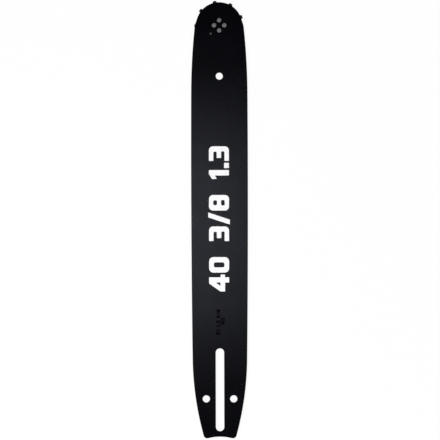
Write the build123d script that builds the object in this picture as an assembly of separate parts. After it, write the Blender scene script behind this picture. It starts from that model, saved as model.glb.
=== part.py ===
from build123d import *
import math
import os

# Chainsaw guide bar: three steel laminations welded into one bar, with a toothed
# sprocket in the nose that turns on needle rollers round a riveted hub.
# The bar lies flat on its rear face. X runs across it, Y along it towards the nose
# and Z up through its thickness. The origin is the middle of the stud slot, on the
# rear face. Sizes are in millimetres. Stations run along the bar from the tail corners.

# Outline of the rails
overall_length = 450.0  # nose rail to the tail corners, before they are rounded
belly_width = 58.5
belly_station = 275.0
crown_radius = 16200.0
shoulder_length = 70.0  # from the nose axis back to where the crown begins
hip_station = 83.0  # where the crown gives way to the tapered tail
tail_width = 31.7
tail_hollow = 2.7
tail_corner_radius = 3.8
nose_radius = 23.8
nose_relief = 1.3  # the rails step back at the nose, where the sprocket lifts the chain
relief_blend_radius = 20.0

# Laminations
side_plate_thickness = 1.5
core_thickness = 1.3  # gauge of the chain groove
groove_depth = 5.2
edge_break = 0.25

# Openings for the saw and for hanging up
stud_slot_width = 8.6
stud_slot_length = 85.3
stud_slot_tail_wall = 8.3
tension_hole_diameter = 7.4
tension_hole_spacing = 28.2
tension_hole_station = 41.6
hang_hole_diameter = 7.2
hang_hole_setback = 52.3  # from the nose axis
oil_hole_diameter = 2.8
oil_hole_station = 55.5
oil_hole_rail_distance = 5.4

# Nose sprocket
tooth_count = 9
first_tooth_angle = 21.0
tooth_stand_out = 1.8  # tip above the rails of the nose
tooth_depth = 7.6
tooth_tip_width = 3.2
tooth_tip_rounding = 0.8
gullet_radius = 3.6
sprocket_side_gap = 0.1
sprocket_pocket_gap = 0.8

# Needle bearing and rivets
hub_diameter = 20.9
roller_diameter = 3.9
roller_spacing = 0.08  # least gap between neighbours
roller_end_gap = 0.1
bearing_play = 0.03  # radial gap on each side of a roller
rivet_circle_diameter = 10.5
rivet_count = 4
rivet_diameter = 3.8
rivet_head_diameter = 4.6
grease_hole_diameter = 2.1
grease_hole_angle = 224.5

# Places that follow from the sizes
bar_thickness = 2 * side_plate_thickness + core_thickness
tail_y = -stud_slot_tail_wall - stud_slot_length / 2
nose_y = tail_y + overall_length - nose_radius
hub_radius = hub_diameter / 2
roller_pitch_radius = hub_radius + bearing_play + roller_diameter / 2
sprocket_bore_radius = roller_pitch_radius + roller_diameter / 2 + bearing_play
roller_count = int(2 * math.pi * roller_pitch_radius / (roller_diameter + roller_spacing))
tip_radius = nose_radius + tooth_stand_out
nose_axis = Location((0, nose_y, 0))

crown_centre = Vector(belly_width / 2 - crown_radius, tail_y + belly_station)


def right_of(centre, radius, y):
    """Right-hand point of a circle at the height y."""
    return Vector(centre.X + math.sqrt(radius**2 - (y - centre.Y) ** 2), y)


def blend_centre(start, tip):
    """Centre of the arc that leaves the crown smoothly at start and passes through tip."""
    inward = (crown_centre - start).normalized()
    chord = tip - start
    return start + inward * (chord.dot(chord) / (2 * chord.dot(inward)))


def arc_about(centre, start, end):
    """Short arc from start to end about centre."""
    outward = ((start + end) * 0.5 - centre).normalized()
    return ThreePointArc(start, centre + outward * (start - centre).length, end)


hip = right_of(crown_centre, crown_radius, tail_y + hip_station)
shoulder = right_of(crown_centre, crown_radius, nose_y - shoulder_length)
tail_corner = Vector(tail_width / 2, tail_y)
nose_corner = Vector(nose_radius + nose_relief, nose_y)
tail_centre = blend_centre(hip, tail_corner)
shoulder_centre = blend_centre(shoulder, nose_corner)


def rail(inset):
    """Edges of the right-hand rail from the tail to the nose axis, set in by inset."""
    inner_hip = hip + (crown_centre - hip).normalized() * inset
    inner_shoulder = shoulder + (crown_centre - shoulder).normalized() * inset
    tail_radius = (tail_corner - tail_centre).length - inset
    shoulder_radius = (nose_corner - shoulder_centre).length - inset
    tail_end = right_of(tail_centre, tail_radius, tail_y)
    nose_end = right_of(shoulder_centre, shoulder_radius, nose_y)
    return [
        arc_about(tail_centre, tail_end, inner_hip),
        arc_about(crown_centre, inner_hip, inner_shoulder),
        arc_about(shoulder_centre, inner_shoulder, nose_end),
    ]


def mirrored(edges):
    """The same edges on the left-hand side."""
    return [mirror(edge, about=Plane.YZ) for edge in edges]


def corner_pair(outline, corner):
    """Vertices of an outline at a right-hand corner and at its mirror image."""
    left_corner = Vector(-corner.X, corner.Y)
    return [outline.vertices().sort_by_distance(place)[0] for place in (corner, left_corner)]


def side_outline():
    """Full outline of a side plate, with the relieved nose and the hollow tail."""
    relief_angle = math.acos(nose_radius / nose_corner.X)
    nose_start = Vector(nose_radius, 0).rotate(Axis.Z, math.degrees(relief_angle)) + Vector(0, nose_y)
    right = rail(0) + [Line(nose_corner, nose_start)]
    nose = ThreePointArc(nose_start, (0, nose_y + nose_radius), (-nose_start.X, nose_start.Y))
    tail = ThreePointArc(tail_corner, (0, tail_y + tail_hollow), (-tail_corner.X, tail_y))
    outline = make_face(right + mirrored(right) + [nose, tail])
    outline = fillet(corner_pair(outline, tail_corner), tail_corner_radius)
    return fillet(corner_pair(outline, nose_corner), relief_blend_radius)


def saw_openings():
    """Slot and round holes that pass through all three laminations."""
    slot = SlotOverall(stud_slot_length, stud_slot_width, rotation=90)
    tension_places = Pos(0, tail_y + tension_hole_station) * GridLocations(tension_hole_spacing, 0, 2, 1)
    tension = tension_places * Circle(tension_hole_diameter / 2)
    hang = Pos(0, nose_y - hang_hole_setback) * Circle(hang_hole_diameter / 2)
    return slot + tension + hang


oil_y = tail_y + oil_hole_station
oil_x = right_of(tail_centre, (tail_corner - tail_centre).length - oil_hole_rail_distance, oil_y).X
plate_outline = side_outline()
openings = saw_openings()

# Rivets: a shank with a countersunk head at each end, both set flush
head_depth = (rivet_head_diameter - rivet_diameter) / 2
rivet_section = Polyline(
    (0, 0),
    (rivet_head_diameter / 2, 0),
    (rivet_diameter / 2, head_depth),
    (rivet_diameter / 2, bar_thickness - head_depth),
    (rivet_head_diameter / 2, bar_thickness),
    (0, bar_thickness),
    close=True,
)
rivet = revolve(Plane.XZ * make_face(rivet_section), Axis.Z)
rivet_places = nose_axis * PolarLocations(rivet_circle_diameter / 2, rivet_count)
rivets = [place * rivet for place in rivet_places]

grease_place = nose_axis * Rot(0, 0, grease_hole_angle) * Pos(roller_pitch_radius, 0)


def side_plate(oil_side):
    """Side plate lying outer face up on Z = 0, with its oil hole on the given side."""
    blank = extrude(plate_outline - openings, side_plate_thickness)
    blank = chamfer(blank.faces().sort_by(Axis.Z)[-1].edges(), edge_break)
    oil_hole = Pos(oil_side * oil_x, oil_y) * Circle(oil_hole_diameter / 2)
    grease_hole = grease_place * Circle(grease_hole_diameter / 2)
    return blank - extrude(oil_hole + grease_hole, side_plate_thickness)


front_plate = Pos(0, 0, bar_thickness - side_plate_thickness) * side_plate(1) - rivets
rear_plate = mirror(side_plate(-1), about=Plane.XY.offset(side_plate_thickness / 2)) - rivets

# Core plate: narrower than the side plates all round, flush at the tail, with a pocket for
# the sprocket and a notch that leads oil from each oil hole into the groove
inner_rail = rail(groove_depth)
core_tail = Line(inner_rail[0] @ 0, (-(inner_rail[0] @ 0).X, tail_y))
core_nose = Line(inner_rail[2] @ 1, (-(inner_rail[2] @ 1).X, nose_y))
core_outline = make_face(inner_rail + mirrored(inner_rail) + [core_tail, core_nose]) & plate_outline
core_outline = fillet(core_outline.vertices().group_by(Axis.Y)[0], tail_corner_radius)
pocket = nose_axis * Circle(tip_radius + sprocket_pocket_gap)
oil_notches = Pos(0, oil_y) * GridLocations(2 * oil_x, 0, 2, 1) * Circle(oil_hole_diameter / 2)
core_plate = extrude(core_outline - pocket - openings - oil_notches, core_thickness)
core_plate = Pos(0, 0, side_plate_thickness) * core_plate

bearing_hub = nose_axis * Pos(0, 0, side_plate_thickness) * extrude(Circle(hub_radius), core_thickness)
bearing_hub = bearing_hub - rivets


def star_outline():
    """Sprocket outline: straight flanks from each tip, tangent to a round gullet floor."""
    half_pitch = math.pi / tooth_count
    flank_angle = half_pitch - math.asin(tooth_tip_width / (2 * tip_radius))
    flank_tip = Vector(tip_radius * math.cos(flank_angle), tip_radius * math.sin(flank_angle))
    root_radius = tip_radius - tooth_depth
    floor_centre = Vector(root_radius + gullet_radius, 0)
    sight = floor_centre - flank_tip
    turn = math.degrees(math.asin(gullet_radius / sight.length))
    flank_length = math.sqrt(sight.length**2 - gullet_radius**2)
    flank_foot = flank_tip + sight.normalized().rotate(Axis.Z, -turn) * flank_length
    edges = []
    for tooth in range(tooth_count):
        turned = Rot(0, 0, first_tooth_angle + math.degrees((2 * tooth + 1) * half_pitch))
        far_tip = Vector(flank_tip.X, -flank_tip.Y)
        far_foot = Vector(flank_foot.X, -flank_foot.Y)
        next_tip = far_tip.rotate(Axis.Z, math.degrees(2 * half_pitch))
        crest = Vector(tip_radius, 0).rotate(Axis.Z, math.degrees(half_pitch))
        edges.append(turned * Line(far_tip, far_foot))
        edges.append(turned * ThreePointArc(far_foot, (root_radius, 0), flank_foot))
        edges.append(turned * Line(flank_foot, flank_tip))
        edges.append(turned * ThreePointArc(flank_tip, crest, next_tip))
    star = make_face(edges)
    tips = star.vertices().sort_by_distance((0, 0))[-2 * tooth_count :]
    return fillet(tips, tooth_tip_rounding)


sprocket_thickness = core_thickness - 2 * sprocket_side_gap
nose_sprocket = extrude(star_outline() - Circle(sprocket_bore_radius), sprocket_thickness)
nose_sprocket = nose_axis * Pos(0, 0, side_plate_thickness + sprocket_side_gap) * nose_sprocket

roller = extrude(Circle(roller_diameter / 2), core_thickness - 2 * roller_end_gap)
roller_ring = nose_axis * Pos(0, 0, side_plate_thickness + roller_end_gap)

nodes = {
    "side_plate_front": front_plate,
    "core_plate": core_plate,
    "side_plate_rear": rear_plate,
    "bearing_hub": bearing_hub,
    "nose_rivets": Compound(children=rivets),
    "nose_sprocket": nose_sprocket,
}
roller_places = PolarLocations(roller_pitch_radius, roller_count, start_angle=grease_hole_angle)
for number, place in enumerate(roller_places, start=1):
    nodes[f"roller_{number:02d}"] = roller_ring * place * roller

os.makedirs("parts", exist_ok=True)
for name, piece in nodes.items():
    export_step(piece, f"parts/{name}.step")
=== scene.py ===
import math
import bpy
import bmesh
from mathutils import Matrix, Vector
from mathutils.geometry import tessellate_polygon


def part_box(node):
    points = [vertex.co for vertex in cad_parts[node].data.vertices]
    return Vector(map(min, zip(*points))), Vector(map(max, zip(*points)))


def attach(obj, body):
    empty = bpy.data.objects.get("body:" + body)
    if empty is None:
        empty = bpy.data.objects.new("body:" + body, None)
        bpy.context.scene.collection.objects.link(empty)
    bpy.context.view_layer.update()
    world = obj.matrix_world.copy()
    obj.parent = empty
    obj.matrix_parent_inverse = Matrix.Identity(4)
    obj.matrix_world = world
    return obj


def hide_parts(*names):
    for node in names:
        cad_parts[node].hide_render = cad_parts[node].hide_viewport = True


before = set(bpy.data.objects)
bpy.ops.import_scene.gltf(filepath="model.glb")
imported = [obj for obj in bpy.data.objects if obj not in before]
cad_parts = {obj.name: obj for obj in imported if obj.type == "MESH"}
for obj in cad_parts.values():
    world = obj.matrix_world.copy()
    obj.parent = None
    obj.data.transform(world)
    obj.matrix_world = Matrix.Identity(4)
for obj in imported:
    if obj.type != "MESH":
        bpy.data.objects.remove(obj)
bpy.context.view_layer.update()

mm = 0.001
scene = bpy.context.scene
scene.view_settings.view_transform = "Standard"


# node helpers
def newMaterial(name):
    mat = bpy.data.materials.new(name)
    mat.use_nodes = True
    mat.node_tree.nodes.clear()
    out = mat.node_tree.nodes.new("ShaderNodeOutputMaterial")
    bsdf = mat.node_tree.nodes.new("ShaderNodeBsdfPrincipled")
    mat.node_tree.links.new(bsdf.outputs["BSDF"], out.inputs["Surface"])
    return mat, mat.node_tree, bsdf


def addNode(tree, kind, **settings):
    node = tree.nodes.new(kind)
    for key, value in settings.items():
        setattr(node, key, value)
    return node


def setInputs(node, **values):
    for key, value in values.items():
        node.inputs[key.replace("_", " ")].default_value = value
    return node


def useGroup(tree, group, **values):
    node = addNode(tree, "ShaderNodeGroup", node_tree=group)
    return setInputs(node, **values)


def newGroup(name, inputs, outputs):
    group = bpy.data.node_groups.new(name, "ShaderNodeTree")
    for label, kind, value in inputs:
        socket = group.interface.new_socket(label, in_out="INPUT", socket_type=kind)
        socket.default_value = value
    for label, kind in outputs:
        group.interface.new_socket(label, in_out="OUTPUT", socket_type=kind)
    return group, group.nodes.new("NodeGroupInput"), group.nodes.new("NodeGroupOutput")


def mathNode(tree, operation, first, second=None, clamp=False):
    node = addNode(tree, "ShaderNodeMath", operation=operation, use_clamp=clamp)
    for slot, value in enumerate((first, second)):
        if value is None:
            continue
        if isinstance(value, (int, float)):
            node.inputs[slot].default_value = value
        else:
            tree.links.new(value, node.inputs[slot])
    return node.outputs[0]


def mixColours(tree, factor, first, second):
    node = addNode(tree, "ShaderNodeMix", data_type="RGBA")
    for slot, value in ((0, factor), (6, first), (7, second)):
        if isinstance(value, (int, float, tuple)):
            node.inputs[slot].default_value = value
        else:
            tree.links.new(value, node.inputs[slot])
    return node.outputs[2]


noiseBand = (0.3, 0.7)  # where most of a noise texture's values lie


def spread(tree, source, low, high, toLow=0.0, toHigh=1.0):
    node = addNode(tree, "ShaderNodeMapRange")
    setInputs(node, From_Min=low, From_Max=high, To_Min=toLow, To_Max=toHigh)
    tree.links.new(source, node.inputs["Value"])
    return node.outputs["Result"]


def bump(tree, bsdf, height, strength, distance):
    node = addNode(tree, "ShaderNodeBump")
    setInputs(node, Strength=strength, Distance=distance)
    tree.links.new(height, node.inputs["Height"])
    tree.links.new(node.outputs["Normal"], bsdf.inputs["Normal"])


# shared effects
def grainGroup():
    # fine even grain: paint orange peel, tumbled steel, ink
    group, gin, gout = newGroup(
        "fineGrain",
        [("Scale", "NodeSocketFloat", 800.0), ("Patch Scale", "NodeSocketFloat", 40.0)],
        [("Height", "NodeSocketFloat"), ("Patches", "NodeSocketFloat")],
    )
    coord = addNode(group, "ShaderNodeTexCoord")
    fine = setInputs(addNode(group, "ShaderNodeTexNoise"), Detail=3.0, Roughness=0.55)
    wide = setInputs(addNode(group, "ShaderNodeTexNoise"), Detail=2.0, Roughness=0.5)
    for node, socket in ((fine, "Scale"), (wide, "Patch Scale")):
        group.links.new(coord.outputs["Object"], node.inputs["Vector"])
        group.links.new(gin.outputs[socket], node.inputs["Scale"])
    group.links.new(fine.outputs["Fac"], gout.inputs["Height"])
    group.links.new(spread(group, wide.outputs["Fac"], *noiseBand), gout.inputs["Patches"])
    return group


groundStreaks = {"scale": 22.0, "band": (0.35, 0.65)}


def groundGroup():
    # grinding marks that run round the edge of a flat piece
    group, gin, gout = newGroup(
        "groundLines",
        [("Lines", "NodeSocketFloat", 9000.0), ("Run", "NodeSocketFloat", 40.0)],
        [("Lines", "NodeSocketFloat"), ("Streaks", "NodeSocketFloat")],
    )
    coord = addNode(group, "ShaderNodeTexCoord")
    scale = addNode(group, "ShaderNodeCombineXYZ")
    group.links.new(gin.outputs["Run"], scale.inputs["X"])
    group.links.new(gin.outputs["Run"], scale.inputs["Y"])
    group.links.new(gin.outputs["Lines"], scale.inputs["Z"])
    stretch = addNode(group, "ShaderNodeVectorMath", operation="MULTIPLY")
    group.links.new(coord.outputs["Object"], stretch.inputs[0])
    group.links.new(scale.outputs["Vector"], stretch.inputs[1])
    lines = setInputs(addNode(group, "ShaderNodeTexNoise"), Scale=1.0, Detail=3.0, Roughness=0.6)
    group.links.new(stretch.outputs["Vector"], lines.inputs["Vector"])
    streaks = addNode(group, "ShaderNodeTexNoise")
    setInputs(streaks, Scale=groundStreaks["scale"], Detail=2.0, Roughness=0.5)
    group.links.new(coord.outputs["Object"], streaks.inputs["Vector"])
    group.links.new(lines.outputs["Fac"], gout.inputs["Lines"])
    group.links.new(spread(group, streaks.outputs["Fac"], *groundStreaks["band"]), gout.inputs["Streaks"])
    return group


fineGrain = grainGroup()
groundLines = groundGroup()


# finishes
blackPaint = {
    "deep": (0.0003, 0.0004, 0.0011, 1.0),
    "thin": (0.0007, 0.0008, 0.0018, 1.0),
    "rough": (0.25, 0.28),
    "specular": 0.2,
    "peelScale": 1100.0,
    "patchScale": 26.0,
    "peelStrength": 0.5,
    "peelHeight": 0.00002,
}


def makeBlackPaint():
    mat, tree, bsdf = newMaterial("blackPaint")
    grain = useGroup(tree, fineGrain, Scale=blackPaint["peelScale"], Patch_Scale=blackPaint["patchScale"])
    tone = mixColours(tree, grain.outputs["Patches"], blackPaint["deep"], blackPaint["thin"])
    tree.links.new(tone, bsdf.inputs["Base Color"])
    rough = spread(tree, grain.outputs["Patches"], 0.0, 1.0, *blackPaint["rough"])
    tree.links.new(rough, bsdf.inputs["Roughness"])
    setInputs(bsdf, Specular_IOR_Level=blackPaint["specular"])
    bump(tree, bsdf, grain.outputs["Height"], blackPaint["peelStrength"], blackPaint["peelHeight"])
    return mat


railSteel = {
    "bright": (0.30, 0.30, 0.31, 1.0),
    "tinted": (0.17, 0.16, 0.17, 1.0),
    "blued": (0.10, 0.11, 0.15, 1.0),
    "lineScale": 9000.0,
    "runScale": 30.0,
    "shineBand": (0.35, 0.7),
    "rough": (0.46, 0.3),
    "markStrength": 0.3,
    "markHeight": 0.00002,
}


def makeRailSteel():
    mat, tree, bsdf = newMaterial("railSteel")
    ground = useGroup(tree, groundLines, Lines=railSteel["lineScale"], Run=railSteel["runScale"])
    warm = mixColours(tree, ground.outputs["Streaks"], railSteel["tinted"], railSteel["blued"])
    shine = spread(tree, ground.outputs["Lines"], *railSteel["shineBand"])
    tree.links.new(mixColours(tree, shine, warm, railSteel["bright"]), bsdf.inputs["Base Color"])
    rough = spread(tree, ground.outputs["Lines"], *noiseBand, *railSteel["rough"])
    tree.links.new(rough, bsdf.inputs["Roughness"])
    setInputs(bsdf, Metallic=1.0)
    bump(tree, bsdf, ground.outputs["Lines"], railSteel["markStrength"], railSteel["markHeight"])
    return mat


grooveSteel = {
    "dark": (0.012, 0.012, 0.013, 1.0),
    "worn": (0.05, 0.05, 0.052, 1.0),
    "metal": 0.7,
    "grainScale": 1500.0,
    "patchScale": 90.0,
    "rough": (0.5, 0.68),
    "markStrength": 0.3,
    "markHeight": 0.00002,
}


def makeGrooveSteel():
    mat, tree, bsdf = newMaterial("grooveSteel")
    grain = useGroup(tree, fineGrain, Scale=grooveSteel["grainScale"], Patch_Scale=grooveSteel["patchScale"])
    tone = mixColours(tree, grain.outputs["Patches"], grooveSteel["dark"], grooveSteel["worn"])
    tree.links.new(tone, bsdf.inputs["Base Color"])
    rough = spread(tree, grain.outputs["Height"], *noiseBand, *grooveSteel["rough"])
    tree.links.new(rough, bsdf.inputs["Roughness"])
    setInputs(bsdf, Metallic=grooveSteel["metal"])
    bump(tree, bsdf, grain.outputs["Height"], grooveSteel["markStrength"], grooveSteel["markHeight"])
    return mat


sprocketSteel = {
    "oxide": (0.028, 0.028, 0.031, 1.0),
    "rubbed": (0.085, 0.084, 0.085, 1.0),
    "metal": 0.9,
    "grainScale": 2400.0,
    "patchScale": 260.0,
    "lineScale": 7000.0,
    "runScale": 60.0,
    "rough": (0.52, 0.38),
    "markStrength": 0.35,
    "markHeight": 0.00001,
}


def makeSprocketSteel():
    mat, tree, bsdf = newMaterial("sprocketSteel")
    grain = useGroup(tree, fineGrain)
    setInputs(grain, Scale=sprocketSteel["grainScale"], Patch_Scale=sprocketSteel["patchScale"])
    ground = useGroup(tree, groundLines, Lines=sprocketSteel["lineScale"], Run=sprocketSteel["runScale"])
    rubbed = mathNode(tree, "MULTIPLY", grain.outputs["Patches"], ground.outputs["Lines"])
    tone = mixColours(tree, rubbed, sprocketSteel["oxide"], sprocketSteel["rubbed"])
    tree.links.new(tone, bsdf.inputs["Base Color"])
    rough = spread(tree, grain.outputs["Patches"], 0.0, 1.0, *sprocketSteel["rough"])
    tree.links.new(rough, bsdf.inputs["Roughness"])
    setInputs(bsdf, Metallic=sprocketSteel["metal"])
    bump(tree, bsdf, grain.outputs["Height"], sprocketSteel["markStrength"], sprocketSteel["markHeight"])
    return mat


rivetSteel = {
    "bright": (0.30, 0.30, 0.31, 1.0),
    "dull": (0.13, 0.13, 0.138, 1.0),
    "grainScale": 2600.0,
    "patchScale": 700.0,
    "rings": 5200.0,
    "ringShare": 0.25,
    "rough": (0.72, 0.6),
    "markStrength": 0.4,
    "markHeight": 0.00002,
}


def makeRivetSteel():
    mat, tree, bsdf = newMaterial("rivetSteel")
    grain = useGroup(tree, fineGrain, Scale=rivetSteel["grainScale"], Patch_Scale=rivetSteel["patchScale"])
    coord = addNode(tree, "ShaderNodeTexCoord")
    flat = addNode(tree, "ShaderNodeVectorMath", operation="MULTIPLY")
    flat.inputs[1].default_value = (1.0, 1.0, 0.0)
    tree.links.new(coord.outputs["Object"], flat.inputs[0])
    radius = addNode(tree, "ShaderNodeVectorMath", operation="LENGTH")
    tree.links.new(flat.outputs["Vector"], radius.inputs[0])
    phase = mathNode(tree, "MULTIPLY", radius.outputs["Value"], rivetSteel["rings"] * math.pi)
    turned = mathNode(tree, "MULTIPLY", mathNode(tree, "SINE", phase), rivetSteel["ringShare"])
    marks = mathNode(tree, "ADD", turned, grain.outputs["Height"])
    tone = mixColours(tree, grain.outputs["Patches"], rivetSteel["dull"], rivetSteel["bright"])
    tree.links.new(tone, bsdf.inputs["Base Color"])
    rough = spread(tree, grain.outputs["Patches"], 0.0, 1.0, *rivetSteel["rough"])
    tree.links.new(rough, bsdf.inputs["Roughness"])
    setInputs(bsdf, Metallic=1.0)
    bump(tree, bsdf, marks, rivetSteel["markStrength"], rivetSteel["markHeight"])
    return mat


bearingSteel = {
    "bright": (0.66, 0.66, 0.67, 1.0),
    "greased": (0.40, 0.375, 0.33, 1.0),
    "grainScale": 1800.0,
    "patchScale": 420.0,
    "rough": (0.4, 0.52),
    "markStrength": 0.15,
    "markHeight": 0.00001,
}


def makeBearingSteel():
    mat, tree, bsdf = newMaterial("bearingSteel")
    grain = useGroup(tree, fineGrain)
    setInputs(grain, Scale=bearingSteel["grainScale"], Patch_Scale=bearingSteel["patchScale"])
    tone = mixColours(tree, grain.outputs["Patches"], bearingSteel["bright"], bearingSteel["greased"])
    tree.links.new(tone, bsdf.inputs["Base Color"])
    rough = spread(tree, grain.outputs["Patches"], 0.0, 1.0, *bearingSteel["rough"])
    tree.links.new(rough, bsdf.inputs["Roughness"])
    setInputs(bsdf, Metallic=1.0)
    bump(tree, bsdf, grain.outputs["Height"], bearingSteel["markStrength"], bearingSteel["markHeight"])
    return mat


paintMat = makeBlackPaint()
railMat = makeRailSteel()
grooveMat = makeGrooveSteel()
sprocketMat = makeSprocketSteel()
rivetMat = makeRivetSteel()
bearingMat = makeBearingSteel()
print("finishes made")


# flat outlines, in millimetres
arcSteps = {
    "tailFlank": 28,
    "crown": 60,
    "shoulder": 24,
    "tailEnd": 12,
    "corner": 12,
    "relief": 8,
    "nose": 44,
    "slotEnd": 36,
    "hole": 72,
    "smallHole": 40,
    "rivetHole": 48,
    "bore": 124,
    "gullet": 14,
    "toothTip": 6,
    "figureCorner": 6,
}


def arcPoints(centre, start, end, count):
    first = math.atan2(start.y - centre.y, start.x - centre.x)
    last = math.atan2(end.y - centre.y, end.x - centre.x)
    turn = (last - first + math.pi) % (2 * math.pi) - math.pi
    radius = (start - centre).length
    angles = [first + turn * step / count for step in range(count + 1)]
    return [centre + Vector((math.cos(a), math.sin(a))) * radius for a in angles]


def circlePoints(x, y, radius, count=arcSteps["hole"]):
    # holes run clockwise, so that an inset always goes into the metal
    angles = [-2 * math.pi * step / count for step in range(count)]
    return [Vector((x + radius * math.cos(a), y + radius * math.sin(a))) for a in angles]


def cutBack(points, length):
    # drops this much from the start of a line of points
    points = list(points)
    while (points[1] - points[0]).length < length:
        length -= (points[1] - points[0]).length
        points.pop(0)
    points[0] = points[0] + (points[1] - points[0]).normalized() * length
    return points


def sweep(start, end, count):
    return [math.radians(start + (end - start) * step / count) for step in range(count + 1)]


def roundedCorner(corner, toward, away, radius, count=arcSteps["corner"]):
    # how far the arc reaches along each side, and its points
    first, second = (toward - corner).normalized(), (away - corner).normalized()
    half = first.angle(second) / 2
    reach = radius / math.tan(half)
    centre = corner + (first + second).normalized() * (radius / math.sin(half))
    return reach, arcPoints(centre, corner + first * reach, corner + second * reach, count)


bar = {
    "overallLength": 450.0,
    "bellyWidth": 58.5,
    "bellyStation": 275.0,
    "crownRadius": 16200.0,
    "shoulderLength": 70.0,
    "hipStation": 83.0,
    "tailWidth": 31.7,
    "tailHollow": 2.7,
    "tailCornerRadius": 3.8,
    "noseRadius": 23.8,
    "noseRelief": 1.3,
    "reliefBlend": 20.0,
    "slotWidth": 8.6,
    "slotLength": 85.3,
    "slotTailWall": 8.3,
    "tensionRadius": 3.7,
    "tensionSpacing": 28.2,
    "tensionStation": 41.6,
    "hangRadius": 3.6,
    "hangSetback": 52.3,
    "oilRadius": 1.4,
    "oilStation": 55.5,
    "oilRailDistance": 5.4,
    "rivetCount": 4,
    "rivetCircle": 10.5,
    "rivetRadius": 1.9,
    "rivetHead": 0.4,
    "greaseRadius": 1.05,
    "greaseAngle": 224.5,
    "greaseCircle": 12.43,
    "edgeBreak": 0.25,
    "innerBreak": 0.06,
    "smallBreak": 0.11,
    "smallInnerBreak": 0.04,
    "edgeSteps": 5,
    "smallSteps": 3,
    "chamferSteps": 1,
    "paintedTail": 7.0,
}
tailY = -bar["slotTailWall"] - bar["slotLength"] / 2
noseY = tailY + bar["overallLength"] - bar["noseRadius"]
crownCentre = Vector((bar["bellyWidth"] / 2 - bar["crownRadius"], tailY + bar["bellyStation"]))


def rightOf(centre, radius, y):
    return Vector((centre.x + math.sqrt(radius ** 2 - (y - centre.y) ** 2), y))


def blendCentre(start, tip):
    inward = (crownCentre - start).normalized()
    chord = tip - start
    return start + inward * (chord.dot(chord) / (2 * chord.dot(inward)))


hip = rightOf(crownCentre, bar["crownRadius"], tailY + bar["hipStation"])
shoulder = rightOf(crownCentre, bar["crownRadius"], noseY - bar["shoulderLength"])
tailCorner = Vector((bar["tailWidth"] / 2, tailY))
noseCorner = Vector((bar["noseRadius"] + bar["noseRelief"], noseY))
tailCentre = blendCentre(hip, tailCorner)
shoulderCentre = blendCentre(shoulder, noseCorner)


def railPoints():
    tail = arcPoints(tailCentre, tailCorner, hip, arcSteps["tailFlank"])
    crown = arcPoints(crownCentre, hip, shoulder, arcSteps["crown"])
    nose = arcPoints(shoulderCentre, shoulder, noseCorner, arcSteps["shoulder"])
    return tail + crown[1:] + nose[1:]


def tailEdge():
    halfWidth, hollow = bar["tailWidth"] / 2, bar["tailHollow"]
    radius = (halfWidth ** 2 + hollow ** 2) / (2 * hollow)
    centre = Vector((0, tailY + hollow - radius))
    return arcPoints(centre, Vector((0, tailY + hollow)), tailCorner, arcSteps["tailEnd"])


def bothSides(half):
    # the half runs from the tail to the nose on the right, ending on the axis
    return half + [Vector((-p.x, p.y)) for p in reversed(half[1:-1])]


def plateOutline():
    rail, tail = railPoints(), tailEdge()
    reach, corner = roundedCorner(tailCorner, tail[-2], rail[1], bar["tailCornerRadius"])
    tail = list(reversed(cutBack(reversed(tail), reach)))
    rail = cutBack(rail, reach)
    relief = math.acos(bar["noseRadius"] / noseCorner.x)
    noseStart = Vector((math.cos(relief), math.sin(relief))) * bar["noseRadius"] + Vector((0, noseY))
    reach, step = roundedCorner(noseCorner, rail[-2], noseStart, bar["reliefBlend"], arcSteps["relief"])
    rail = list(reversed(cutBack(reversed(rail), reach)))
    noseTop = Vector((0, noseY + bar["noseRadius"]))
    nose = arcPoints(Vector((0, noseY)), noseStart, noseTop, arcSteps["nose"])
    return bothSides(tail[:-1] + corner + rail[1:-1] + step + nose)


def slotPoints():
    radius = bar["slotWidth"] / 2
    reach = bar["slotLength"] / 2 - radius
    steps = arcSteps["slotEnd"]
    top = [Vector((radius * math.cos(a), reach + radius * math.sin(a))) for a in sweep(0, 180, steps)]
    foot = [Vector((radius * math.cos(a), -reach + radius * math.sin(a))) for a in sweep(180, 360, steps)]
    return list(reversed(top + foot))


def sawHoles():
    tensionY = tailY + bar["tensionStation"]
    side = bar["tensionSpacing"] / 2
    return [
        slotPoints(),
        circlePoints(-side, tensionY, bar["tensionRadius"]),
        circlePoints(side, tensionY, bar["tensionRadius"]),
        circlePoints(0, noseY - bar["hangSetback"], bar["hangRadius"]),
    ]


def rivetPlaces():
    angles = [turn * 2 * math.pi / bar["rivetCount"] for turn in range(bar["rivetCount"])]
    radius = bar["rivetCircle"] / 2
    return [(radius * math.cos(a), noseY + radius * math.sin(a)) for a in angles]


oilY = tailY + bar["oilStation"]
oilX = rightOf(tailCentre, (tailCorner - tailCentre).length - bar["oilRailDistance"], oilY).x


# flat pieces with broken edges
sharpest = 0.5  # keeps a sharp corner from running away when it is moved in


def insetLoop(points, inset):
    moved = []
    for i, here in enumerate(points):
        before, after = points[i - 1], points[(i + 1) % len(points)]
        first, second = (here - before).normalized(), (after - here).normalized()
        normal = Vector((-first.y - second.y, first.x + second.x)).normalized()
        reach = max(normal.dot(Vector((-first.y, first.x))), sharpest)
        moved.append(here + normal * (inset / reach))
    return moved


def edgeProfile(inner, outer, innerBreak, outerBreak, steps):
    # inset and height from the inner face to the outer one
    way = 1 if outer > inner else -1
    rows = [(innerBreak, inner), (0.0, inner + way * innerBreak)]
    for step in range(steps + 1):
        a = math.pi / 2 * step / steps
        rows.append((outerBreak * (1 - math.cos(a)), outer - way * outerBreak * (1 - math.sin(a))))
    return rows


painted, bareRail, grooveSide = 0, 1, 2  # places in a side plate's list of materials


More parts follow.
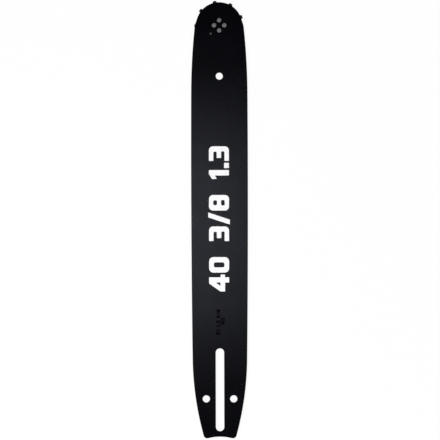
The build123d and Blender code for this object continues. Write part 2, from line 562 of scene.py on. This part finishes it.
def addFlatSolid(bm, loops, innerCap=painted):
    # each loop is (points, profile, wall material, rim material); the first one is the outline
    ends = []
    for points, profile, wall, rim in loops:
        rings = []
        for inset, z in profile:
            ring = insetLoop(points, inset) if inset else points
            rings.append([bm.verts.new((p.x * mm, p.y * mm, z * mm)) for p in ring])
        for level in range(len(rings) - 1):
            low, high = rings[level], rings[level + 1]
            isWall = profile[level][0] == 0.0 and profile[level + 1][0] == 0.0
            for i in range(len(points)):
                j = (i + 1) % len(points)
                face = bm.faces.new((low[i], low[j], high[j], high[i]))
                face.material_index = wall if isWall else rim
                face.smooth = len(profile) > 2
        ends.append((rings[0], rings[-1]))
    for side in (0, 1):
        rings = [pair[side] for pair in ends]
        flat = [v for ring in rings for v in ring]
        for corners in tessellate_polygon([[v.co for v in ring] for ring in rings]):
            face = bm.faces.new([flat[c] for c in corners])
            face.material_index = innerCap if side == 0 else painted


def finishPiece(name, bm, mats):
    bmesh.ops.recalc_face_normals(bm, faces=bm.faces)
    mesh = bpy.data.meshes.new(name)
    bm.to_mesh(mesh)
    bm.free()
    for mat in mats:
        mesh.materials.append(mat)
    piece = bpy.data.objects.new(name, mesh)
    scene.collection.objects.link(piece)
    return piece


def sidePlate(name, inner, outer, oilSide):
    wide = edgeProfile(inner, outer, bar["innerBreak"], bar["edgeBreak"], bar["edgeSteps"])
    small = edgeProfile(inner, outer, bar["smallInnerBreak"], bar["smallBreak"], bar["smallSteps"])
    sunk = edgeProfile(inner, outer, bar["smallInnerBreak"], bar["rivetHead"], bar["chamferSteps"])
    loops = [(plateOutline(), wide, bareRail, painted)]
    loops += [(points, wide, painted, painted) for points in sawHoles()]
    oilHole = circlePoints(oilSide * oilX, oilY, bar["oilRadius"], arcSteps["smallHole"])
    loops.append((oilHole, small, painted, painted))
    around = math.radians(bar["greaseAngle"])
    greaseX = bar["greaseCircle"] * math.cos(around)
    greaseY = noseY + bar["greaseCircle"] * math.sin(around)
    greaseHole = circlePoints(greaseX, greaseY, bar["greaseRadius"], arcSteps["smallHole"])
    loops.append((greaseHole, small, painted, painted))
    for x, y in rivetPlaces():
        rivetHole = circlePoints(x, y, bar["rivetRadius"], arcSteps["rivetHole"])
        loops.append((rivetHole, sunk, painted, painted))
    bm = bmesh.new()
    addFlatSolid(bm, loops, grooveSide)
    paintEnd = (tailY + bar["paintedTail"]) * mm
    for face in bm.faces:  # the chain leaves the rails before the tail, so its end stays painted
        if face.material_index == bareRail and face.calc_center_median().y < paintEnd:
            face.material_index = painted
    return finishPiece(name, bm, [paintMat, railMat, grooveMat])


heights = {node: [z / mm for z in (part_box(node)[0].z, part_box(node)[1].z)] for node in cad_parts}
frontPlate = sidePlate("frontPlate", heights["side_plate_front"][0], heights["side_plate_front"][1], 1)
rearPlate = sidePlate("rearPlate", heights["side_plate_rear"][1], heights["side_plate_rear"][0], -1)
for plate, node in ((frontPlate, "side_plate_front"), (rearPlate, "side_plate_rear")):
    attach(plate, "bar")
    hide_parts(node)
print("side plates made")

# the core plate, the hub and the rollers keep their CAD meshes
for node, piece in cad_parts.items():
    if node == "core_plate" or node == "bearing_hub" or node.startswith("roller"):
        piece.data.materials.clear()
        piece.data.materials.append(grooveMat if node == "core_plate" else bearingMat)


# nose sprocket
sprocketShape = {
    "teeth": 9,
    "firstAngle": 21.0,
    "tipRadius": 25.6,
    "toothDepth": 7.6,
    "tipWidth": 3.2,
    "tipRounding": 0.8,
    "gulletRadius": 3.6,
    "boreRadius": 14.41,
    "edgeBreak": 0.1,
    "edgeSteps": 3,
}


def starOutline():
    s = sprocketShape
    halfPitch = math.pi / s["teeth"]
    flankAngle = halfPitch - math.asin(s["tipWidth"] / (2 * s["tipRadius"]))
    tip = Vector((math.cos(flankAngle), math.sin(flankAngle))) * s["tipRadius"]
    floor = Vector((s["tipRadius"] - s["toothDepth"] + s["gulletRadius"], 0))
    sight = floor - tip
    turn = math.asin(s["gulletRadius"] / sight.length)
    aim = math.atan2(sight.y, sight.x) - turn
    flankLength = math.sqrt(sight.length ** 2 - s["gulletRadius"] ** 2)
    foot = tip + Vector((math.cos(aim), math.sin(aim))) * flankLength
    crest = Vector((math.cos(halfPitch), math.sin(halfPitch))) * s["tipRadius"]
    corner = roundedCorner(tip, foot, crest, s["tipRounding"], arcSteps["toothTip"])[1]
    half = arcPoints(floor, floor - Vector((s["gulletRadius"], 0)), foot, arcSteps["gullet"])
    half += corner + [crest]
    points = []
    for tooth in range(s["teeth"]):
        a = math.radians(s["firstAngle"]) + (2 * tooth + 1) * halfPitch
        lower = [Vector((p.x, -p.y)) for p in reversed(half[1:-1])]
        for p in lower + half:
            x = p.x * math.cos(a) - p.y * math.sin(a)
            y = p.x * math.sin(a) + p.y * math.cos(a)
            points.append(Vector((x, noseY + y)))
    return points


low, high = heights["nose_sprocket"]
toothBreak = sprocketShape["edgeBreak"]
rounded = edgeProfile(low, high, toothBreak, toothBreak, sprocketShape["edgeSteps"])
starLoop = (starOutline(), rounded, 0, 0)
boreLoop = (circlePoints(0, noseY, sprocketShape["boreRadius"], arcSteps["bore"]), rounded, 0, 0)
starMesh = bmesh.new()
addFlatSolid(starMesh, [starLoop, boreLoop])
sprocket = finishPiece("noseSprocket", starMesh, [sprocketMat])
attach(sprocket, "sprocket")
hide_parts("nose_sprocket")
print("sprocket made")


# rivets, turned about their own axes
rivetShape = {
    "shankRadius": 1.86,
    "headDepth": 0.44,
    "dimple": [(0.0, 0.06), (0.2, 0.052), (0.36, 0.026), (0.5, 0.002)],
    "domeSteps": 10,
    "rimRadius": 2.2,
    "rimDrop": 0.14,
    "rimRoll": 0.03,
    "rimBack": 0.08,
    "segments": 48,
    "sharpAngle": 35.0,
}


def rivetProfile(thickness):
    # radius and depth below the face: a dimple, a low dome and a rolled rim
    s = rivetShape
    half = list(s["dimple"])
    domeStart = s["dimple"][-1][0]
    for step in range(1, s["domeSteps"] + 1):
        share = step / s["domeSteps"]
        half.append((domeStart + (s["rimRadius"] - domeStart) * share, s["rimDrop"] * share ** 2))
    half.append((s["rimRadius"] + s["rimRoll"], s["rimDrop"] + s["rimRoll"]))
    half.append((s["rimRadius"], s["rimDrop"] + s["rimBack"]))
    half.append((s["shankRadius"], s["headDepth"]))
    return half + [(r, thickness - z) for r, z in reversed(half)]


def turnedPiece(name, profile, mat):
    bm = bmesh.new()
    rings = []
    segments = rivetShape["segments"]
    for r, z in profile:
        if r == 0:
            rings.append([bm.verts.new((0, 0, z * mm))])
            continue
        angles = [2 * math.pi * i / segments for i in range(segments)]
        rings.append([bm.verts.new((r * mm * math.cos(a), r * mm * math.sin(a), z * mm)) for a in angles])
    for low, high in zip(rings, rings[1:]):
        for i in range(segments):
            j = (i + 1) % segments
            corners = [low[i % len(low)], low[j % len(low)], high[j % len(high)], high[i % len(high)]]
            face = bm.faces.new(list(dict.fromkeys(corners)))
            face.smooth = True
    piece = finishPiece(name, bm, [mat])
    piece.data.set_sharp_from_angle(angle=math.radians(rivetShape["sharpAngle"]))
    return piece


barThickness = heights["side_plate_front"][1]
for number, (x, y) in enumerate(rivetPlaces(), 1):
    rivet = turnedPiece(f"noseRivet{number}", rivetProfile(barThickness), rivetMat)
    rivet.location = (x * mm, y * mm, 0)
    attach(rivet, "bar")
    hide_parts("nose_rivets")
print("rivets made")


# block figures: width and outlines on a body 20.6 high; a third number rounds that corner
figureBody = 20.6
figureGap = 2.0
figureCorner = 0.35  # rounding of the corners that give no number
figureShapes = {
    "0": (16.0, [[(0, 0, 4.5), (16, 0, 4.5), (16, 20.6, 4.5), (0, 20.6, 4.5)],
                 [(5.4, 4.8, 1.8), (5.4, 15.8, 1.8), (10.6, 15.8, 1.8), (10.6, 4.8, 1.8)]]),
    "1": (9.2, [[(3.6, 0), (9.2, 0), (9.2, 20.6), (5.2, 20.6), (0, 17.4), (0, 12.4), (3.6, 14.6)]]),
    "3": (15.0, [[(0, 0), (15, 0, 4.2), (15, 20.6, 4.2), (0, 20.6), (0, 16), (9.5, 16, 1), (9.5, 12.6, 1),
                  (3, 12.6), (3, 8), (9.8, 8, 1), (9.8, 4.6, 1), (0, 4.6)]]),
    "4": (17.4, [[(9.2, 0), (14.6, 0), (14.6, 4.3), (17.4, 4.3), (17.4, 8.8), (14.6, 8.8), (14.6, 20.6),
                  (8.2, 20.6), (0, 9), (0, 4.2), (9.2, 4.2)],
                 [(5.7, 9.0), (9.3, 14.0), (9.3, 9.0)]]),
    "5": (15.0, [[(0, 0), (15, 0, 4.2), (15, 13.2, 3.6), (5.2, 13.2), (5.2, 16), (14.4, 16), (14.4, 20.6),
                  (0, 20.6), (0, 8.6), (9.8, 8.6, 1), (9.8, 4.6, 1), (0, 4.6)]]),
    "7": (15.0, [[(2.6, 0), (8.4, 0), (15, 15.4), (15, 20.6), (0, 20.6), (0, 16), (9.4, 16)]]),
    "8": (16.0, [[(0, 0, 4.2), (16, 0, 4.2), (16, 20.6, 4.2), (0, 20.6, 4.2)],
                 [(5.2, 4.4, 1.3), (5.2, 8.2, 1.3), (10.8, 8.2, 1.3), (10.8, 4.4, 1.3)],
                 [(5.5, 12.4, 1.3), (5.5, 16.2, 1.3), (10.5, 16.2, 1.3), (10.5, 12.4, 1.3)]]),
    "/": (12.4, [[(0, -0.8), (5, -0.8), (12.4, 21.4), (7.4, 21.4)]]),
    ".": (5.4, [[(0, 0), (5.4, 0), (5.4, 5), (0, 5)]]),
}
sizePrint = {
    "rows": [("40 3/8 1.3", (-0.6, 176.0))],
    "height": 20.6,
    "wordGap": 14.5,
    "film": 0.012,
    "fresh": (0.90, 0.90, 0.90, 1.0),
    "thin": (0.84, 0.84, 0.85, 1.0),
    "grainScale": 3200.0,
    "patchScale": 150.0,
    "rough": (0.42, 0.56),
    "markStrength": 0.25,
    "markHeight": 0.00001,
}
sizeMark = {
    "rows": [("57 1.3 3/8", (-1.55, 69.5)), ("40", (2.98, 70.4))],
    "height": 4.0,
    "wordGap": 9.0,
    "film": 0.006,
    "dark": (0.0005, 0.0005, 0.0008, 1.0),
    "worn": (0.0010, 0.0010, 0.0014, 1.0),
    "grainScale": 4000.0,
    "patchScale": 300.0,
    "rough": (0.7, 0.9),
    "markStrength": 0.4,
    "markHeight": 0.00001,
}


def makeWhiteInk():
    mat, tree, bsdf = newMaterial("whiteInk")
    grain = useGroup(tree, fineGrain, Scale=sizePrint["grainScale"], Patch_Scale=sizePrint["patchScale"])
    tone = mixColours(tree, grain.outputs["Patches"], sizePrint["fresh"], sizePrint["thin"])
    tree.links.new(tone, bsdf.inputs["Base Color"])
    rough = spread(tree, grain.outputs["Height"], *noiseBand, *sizePrint["rough"])
    tree.links.new(rough, bsdf.inputs["Roughness"])
    bump(tree, bsdf, grain.outputs["Height"], sizePrint["markStrength"], sizePrint["markHeight"])
    return mat


def makeMarkInk():
    mat, tree, bsdf = newMaterial("markInk")
    grain = useGroup(tree, fineGrain, Scale=sizeMark["grainScale"], Patch_Scale=sizeMark["patchScale"])
    tone = mixColours(tree, grain.outputs["Patches"], sizeMark["dark"], sizeMark["worn"])
    tree.links.new(tone, bsdf.inputs["Base Color"])
    rough = spread(tree, grain.outputs["Height"], *noiseBand, *sizeMark["rough"])
    tree.links.new(rough, bsdf.inputs["Roughness"])
    setInputs(bsdf, Specular_IOR_Level=0.0)
    bump(tree, bsdf, grain.outputs["Height"], sizeMark["markStrength"], sizeMark["markHeight"])
    return mat


def roundedOutline(corners):
    points = []
    spots = [Vector(c[:2]) for c in corners]
    for i, corner in enumerate(corners):
        radius = corner[2] if len(corner) > 2 else figureCorner
        after = spots[(i + 1) % len(spots)]
        points += roundedCorner(spots[i], spots[i - 1], after, radius, arcSteps["figureCorner"])[1]
    return points


def printFigures(name, look, mat):
    # a thin film of ink that reads towards the nose
    bm = bmesh.new()
    scale = look["height"] / figureBody
    sides = [(0.0, barThickness), (0.0, barThickness + look["film"])]
    for row, (middleX, middleY) in look["rows"]:
        places, reach = [], 0.0
        for figure in row:
            if figure == " ":
                reach += look["wordGap"]
                continue
            places.append((figure, reach))
            reach += figureShapes[figure][0] + figureGap
        half = (reach - figureGap) / 2
        for figure, along in places:
            loops = []
            for corners in figureShapes[figure][1]:
                placed = []
                for p in roundedOutline(corners):
                    x = middleX - (p.y - figureBody / 2) * scale
                    y = middleY + (along + p.x - half) * scale
                    placed.append(Vector((x, y)))
                loops.append((placed, sides, 0, 0))
            addFlatSolid(bm, loops)
    piece = finishPiece(name, bm, [mat])
    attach(piece, "bar")


printFigures("sizePrint", sizePrint, makeWhiteInk())
printFigures("sizeMark", sizeMark, makeMarkInk())
print("figures printed")


# stage, light and camera
stage = {
    "flatRadius": 5.0,
    "sweepRadius": 2.0,
    "sweepAngle": 60.0,
    "sweepSteps": 12,
    "segments": 96,
    "floorDrop": 0.0002,
    "colour": (0.86, 0.86, 0.86, 1.0),
    "rough": 0.9,
    "cleanShare": 0.95,
}


def seenMask(tree):
    light = addNode(tree, "ShaderNodeLightPath")
    seen = mathNode(tree, "MAXIMUM", light.outputs["Is Camera Ray"], light.outputs["Is Glossy Ray"])
    return mathNode(tree, "MAXIMUM", seen, light.outputs["Is Transmission Ray"])


def makeFloor():
    # a flat floor that sweeps up into a low wall all round
    mat, tree, bsdf = newMaterial("paleFloor")
    setInputs(bsdf, Base_Color=stage["colour"], Roughness=stage["rough"])
    glow = setInputs(addNode(tree, "ShaderNodeEmission"), Strength=1.0)
    mix = addNode(tree, "ShaderNodeMixShader")
    share = mathNode(tree, "MULTIPLY", seenMask(tree), stage["cleanShare"])
    tree.links.new(share, mix.inputs["Fac"])
    tree.links.new(bsdf.outputs["BSDF"], mix.inputs[1])
    tree.links.new(glow.outputs["Emission"], mix.inputs[2])
    out = [n for n in tree.nodes if n.type == "OUTPUT_MATERIAL"][0]
    tree.links.new(mix.outputs["Shader"], out.inputs["Surface"])
    bm = bmesh.new()
    flat, curve = stage["flatRadius"], stage["sweepRadius"]
    around = [2 * math.pi * step / stage["segments"] for step in range(stage["segments"])]
    rings = []
    for rise in sweep(0, stage["sweepAngle"], stage["sweepSteps"]):
        radius, height = flat + curve * math.sin(rise), curve * (1 - math.cos(rise))
        rings.append([bm.verts.new((radius * math.cos(a), radius * math.sin(a), height)) for a in around])
    bm.faces.new(rings[0])
    for low, high in zip(rings, rings[1:]):
        for i in range(len(low)):
            j = (i + 1) % len(low)
            bm.faces.new((low[i], low[j], high[j], high[i])).smooth = True
    floor = finishPiece("floor", bm, [mat])
    floor.location.z = -stage["floorDrop"]


room = {
    "wall": 0.35,
    "wallTop": (0.45, 0.6),
    "window": 3.2,
    "windowFoot": (0.60, 0.66),
    "windowHead": (0.74, 0.80),
}


def makeRoom():
    # grey walls with a band of high windows all round, under a dark ceiling
    world = bpy.data.worlds.new("room")
    scene.world = world
    world.use_nodes = True
    tree = world.node_tree
    tree.nodes.clear()
    out = addNode(tree, "ShaderNodeOutputWorld")
    back = addNode(tree, "ShaderNodeBackground")
    coord = addNode(tree, "ShaderNodeTexCoord")
    split = addNode(tree, "ShaderNodeSeparateXYZ")
    tree.links.new(coord.outputs["Generated"], split.inputs["Vector"])
    wall = spread(tree, split.outputs["Z"], *room["wallTop"], room["wall"], 0.0)
    foot = spread(tree, split.outputs["Z"], *room["windowFoot"])
    head = spread(tree, split.outputs["Z"], *room["windowHead"], room["window"], 0.0)
    light = mathNode(tree, "ADD", wall, mathNode(tree, "MULTIPLY", foot, head))
    tree.links.new(light, back.inputs["Strength"])
    tree.links.new(back.outputs["Background"], out.inputs["Surface"])


softbox = {
    "width": 0.2,
    "length": 0.234,
    "height": 0.85,
    "x": -0.054,
    "y": 0.168,
    "spread": 28.0,
    "watts": 0.0173,
    "colour": (0.815, 0.84, 1.0),
}
keyLamp = {"size": 0.4, "place": (-0.7, -0.72, 1.14), "watts": 18.0}
photoView = {
    "lens": 250.0,
    "sensor": 36.0,
    "frameWidth": 0.4529,
    "x": 0.0004,
    "y": 0.17486,
    "roll": -0.136,
    "clip": (0.1, 50.0),
}


def makeLamps():
    lamp = bpy.data.lights.new("overheadSoftbox", "AREA")
    lamp.shape = "RECTANGLE"
    lamp.size, lamp.size_y = softbox["width"], softbox["length"]
    lamp.energy = softbox["watts"]
    lamp.color = softbox["colour"]
    lamp.spread = math.radians(softbox["spread"])
    box = bpy.data.objects.new("overheadSoftbox", lamp)
    box.location = (softbox["x"], softbox["y"], softbox["height"])
    scene.collection.objects.link(box)
    key = bpy.data.lights.new("keyLamp", "AREA")
    key.shape = "DISK"
    key.size = keyLamp["size"]
    key.energy = keyLamp["watts"]
    stand = bpy.data.objects.new("keyLamp", key)
    stand.location = keyLamp["place"]
    aim = Vector((0, photoView["y"], 0)) - stand.location
    stand.rotation_euler = aim.to_track_quat("-Z", "Y").to_euler()
    scene.collection.objects.link(stand)


def makeCamera():
    cam = bpy.data.cameras.new("photoCamera")
    cam.lens, cam.sensor_width = photoView["lens"], photoView["sensor"]
    cam.dof.use_dof = False
    distance = photoView["frameWidth"] * photoView["lens"] / photoView["sensor"]
    cam.clip_start, cam.clip_end = photoView["clip"]
    eye = bpy.data.objects.new("photoCamera", cam)
    eye.location = (photoView["x"], photoView["y"], barThickness * mm + distance)
    eye.rotation_euler = (0, 0, math.radians(photoView["roll"]))
    scene.collection.objects.link(eye)
    scene.camera = eye


makeFloor()
makeRoom()
makeLamps()
makeCamera()
print("stage set")
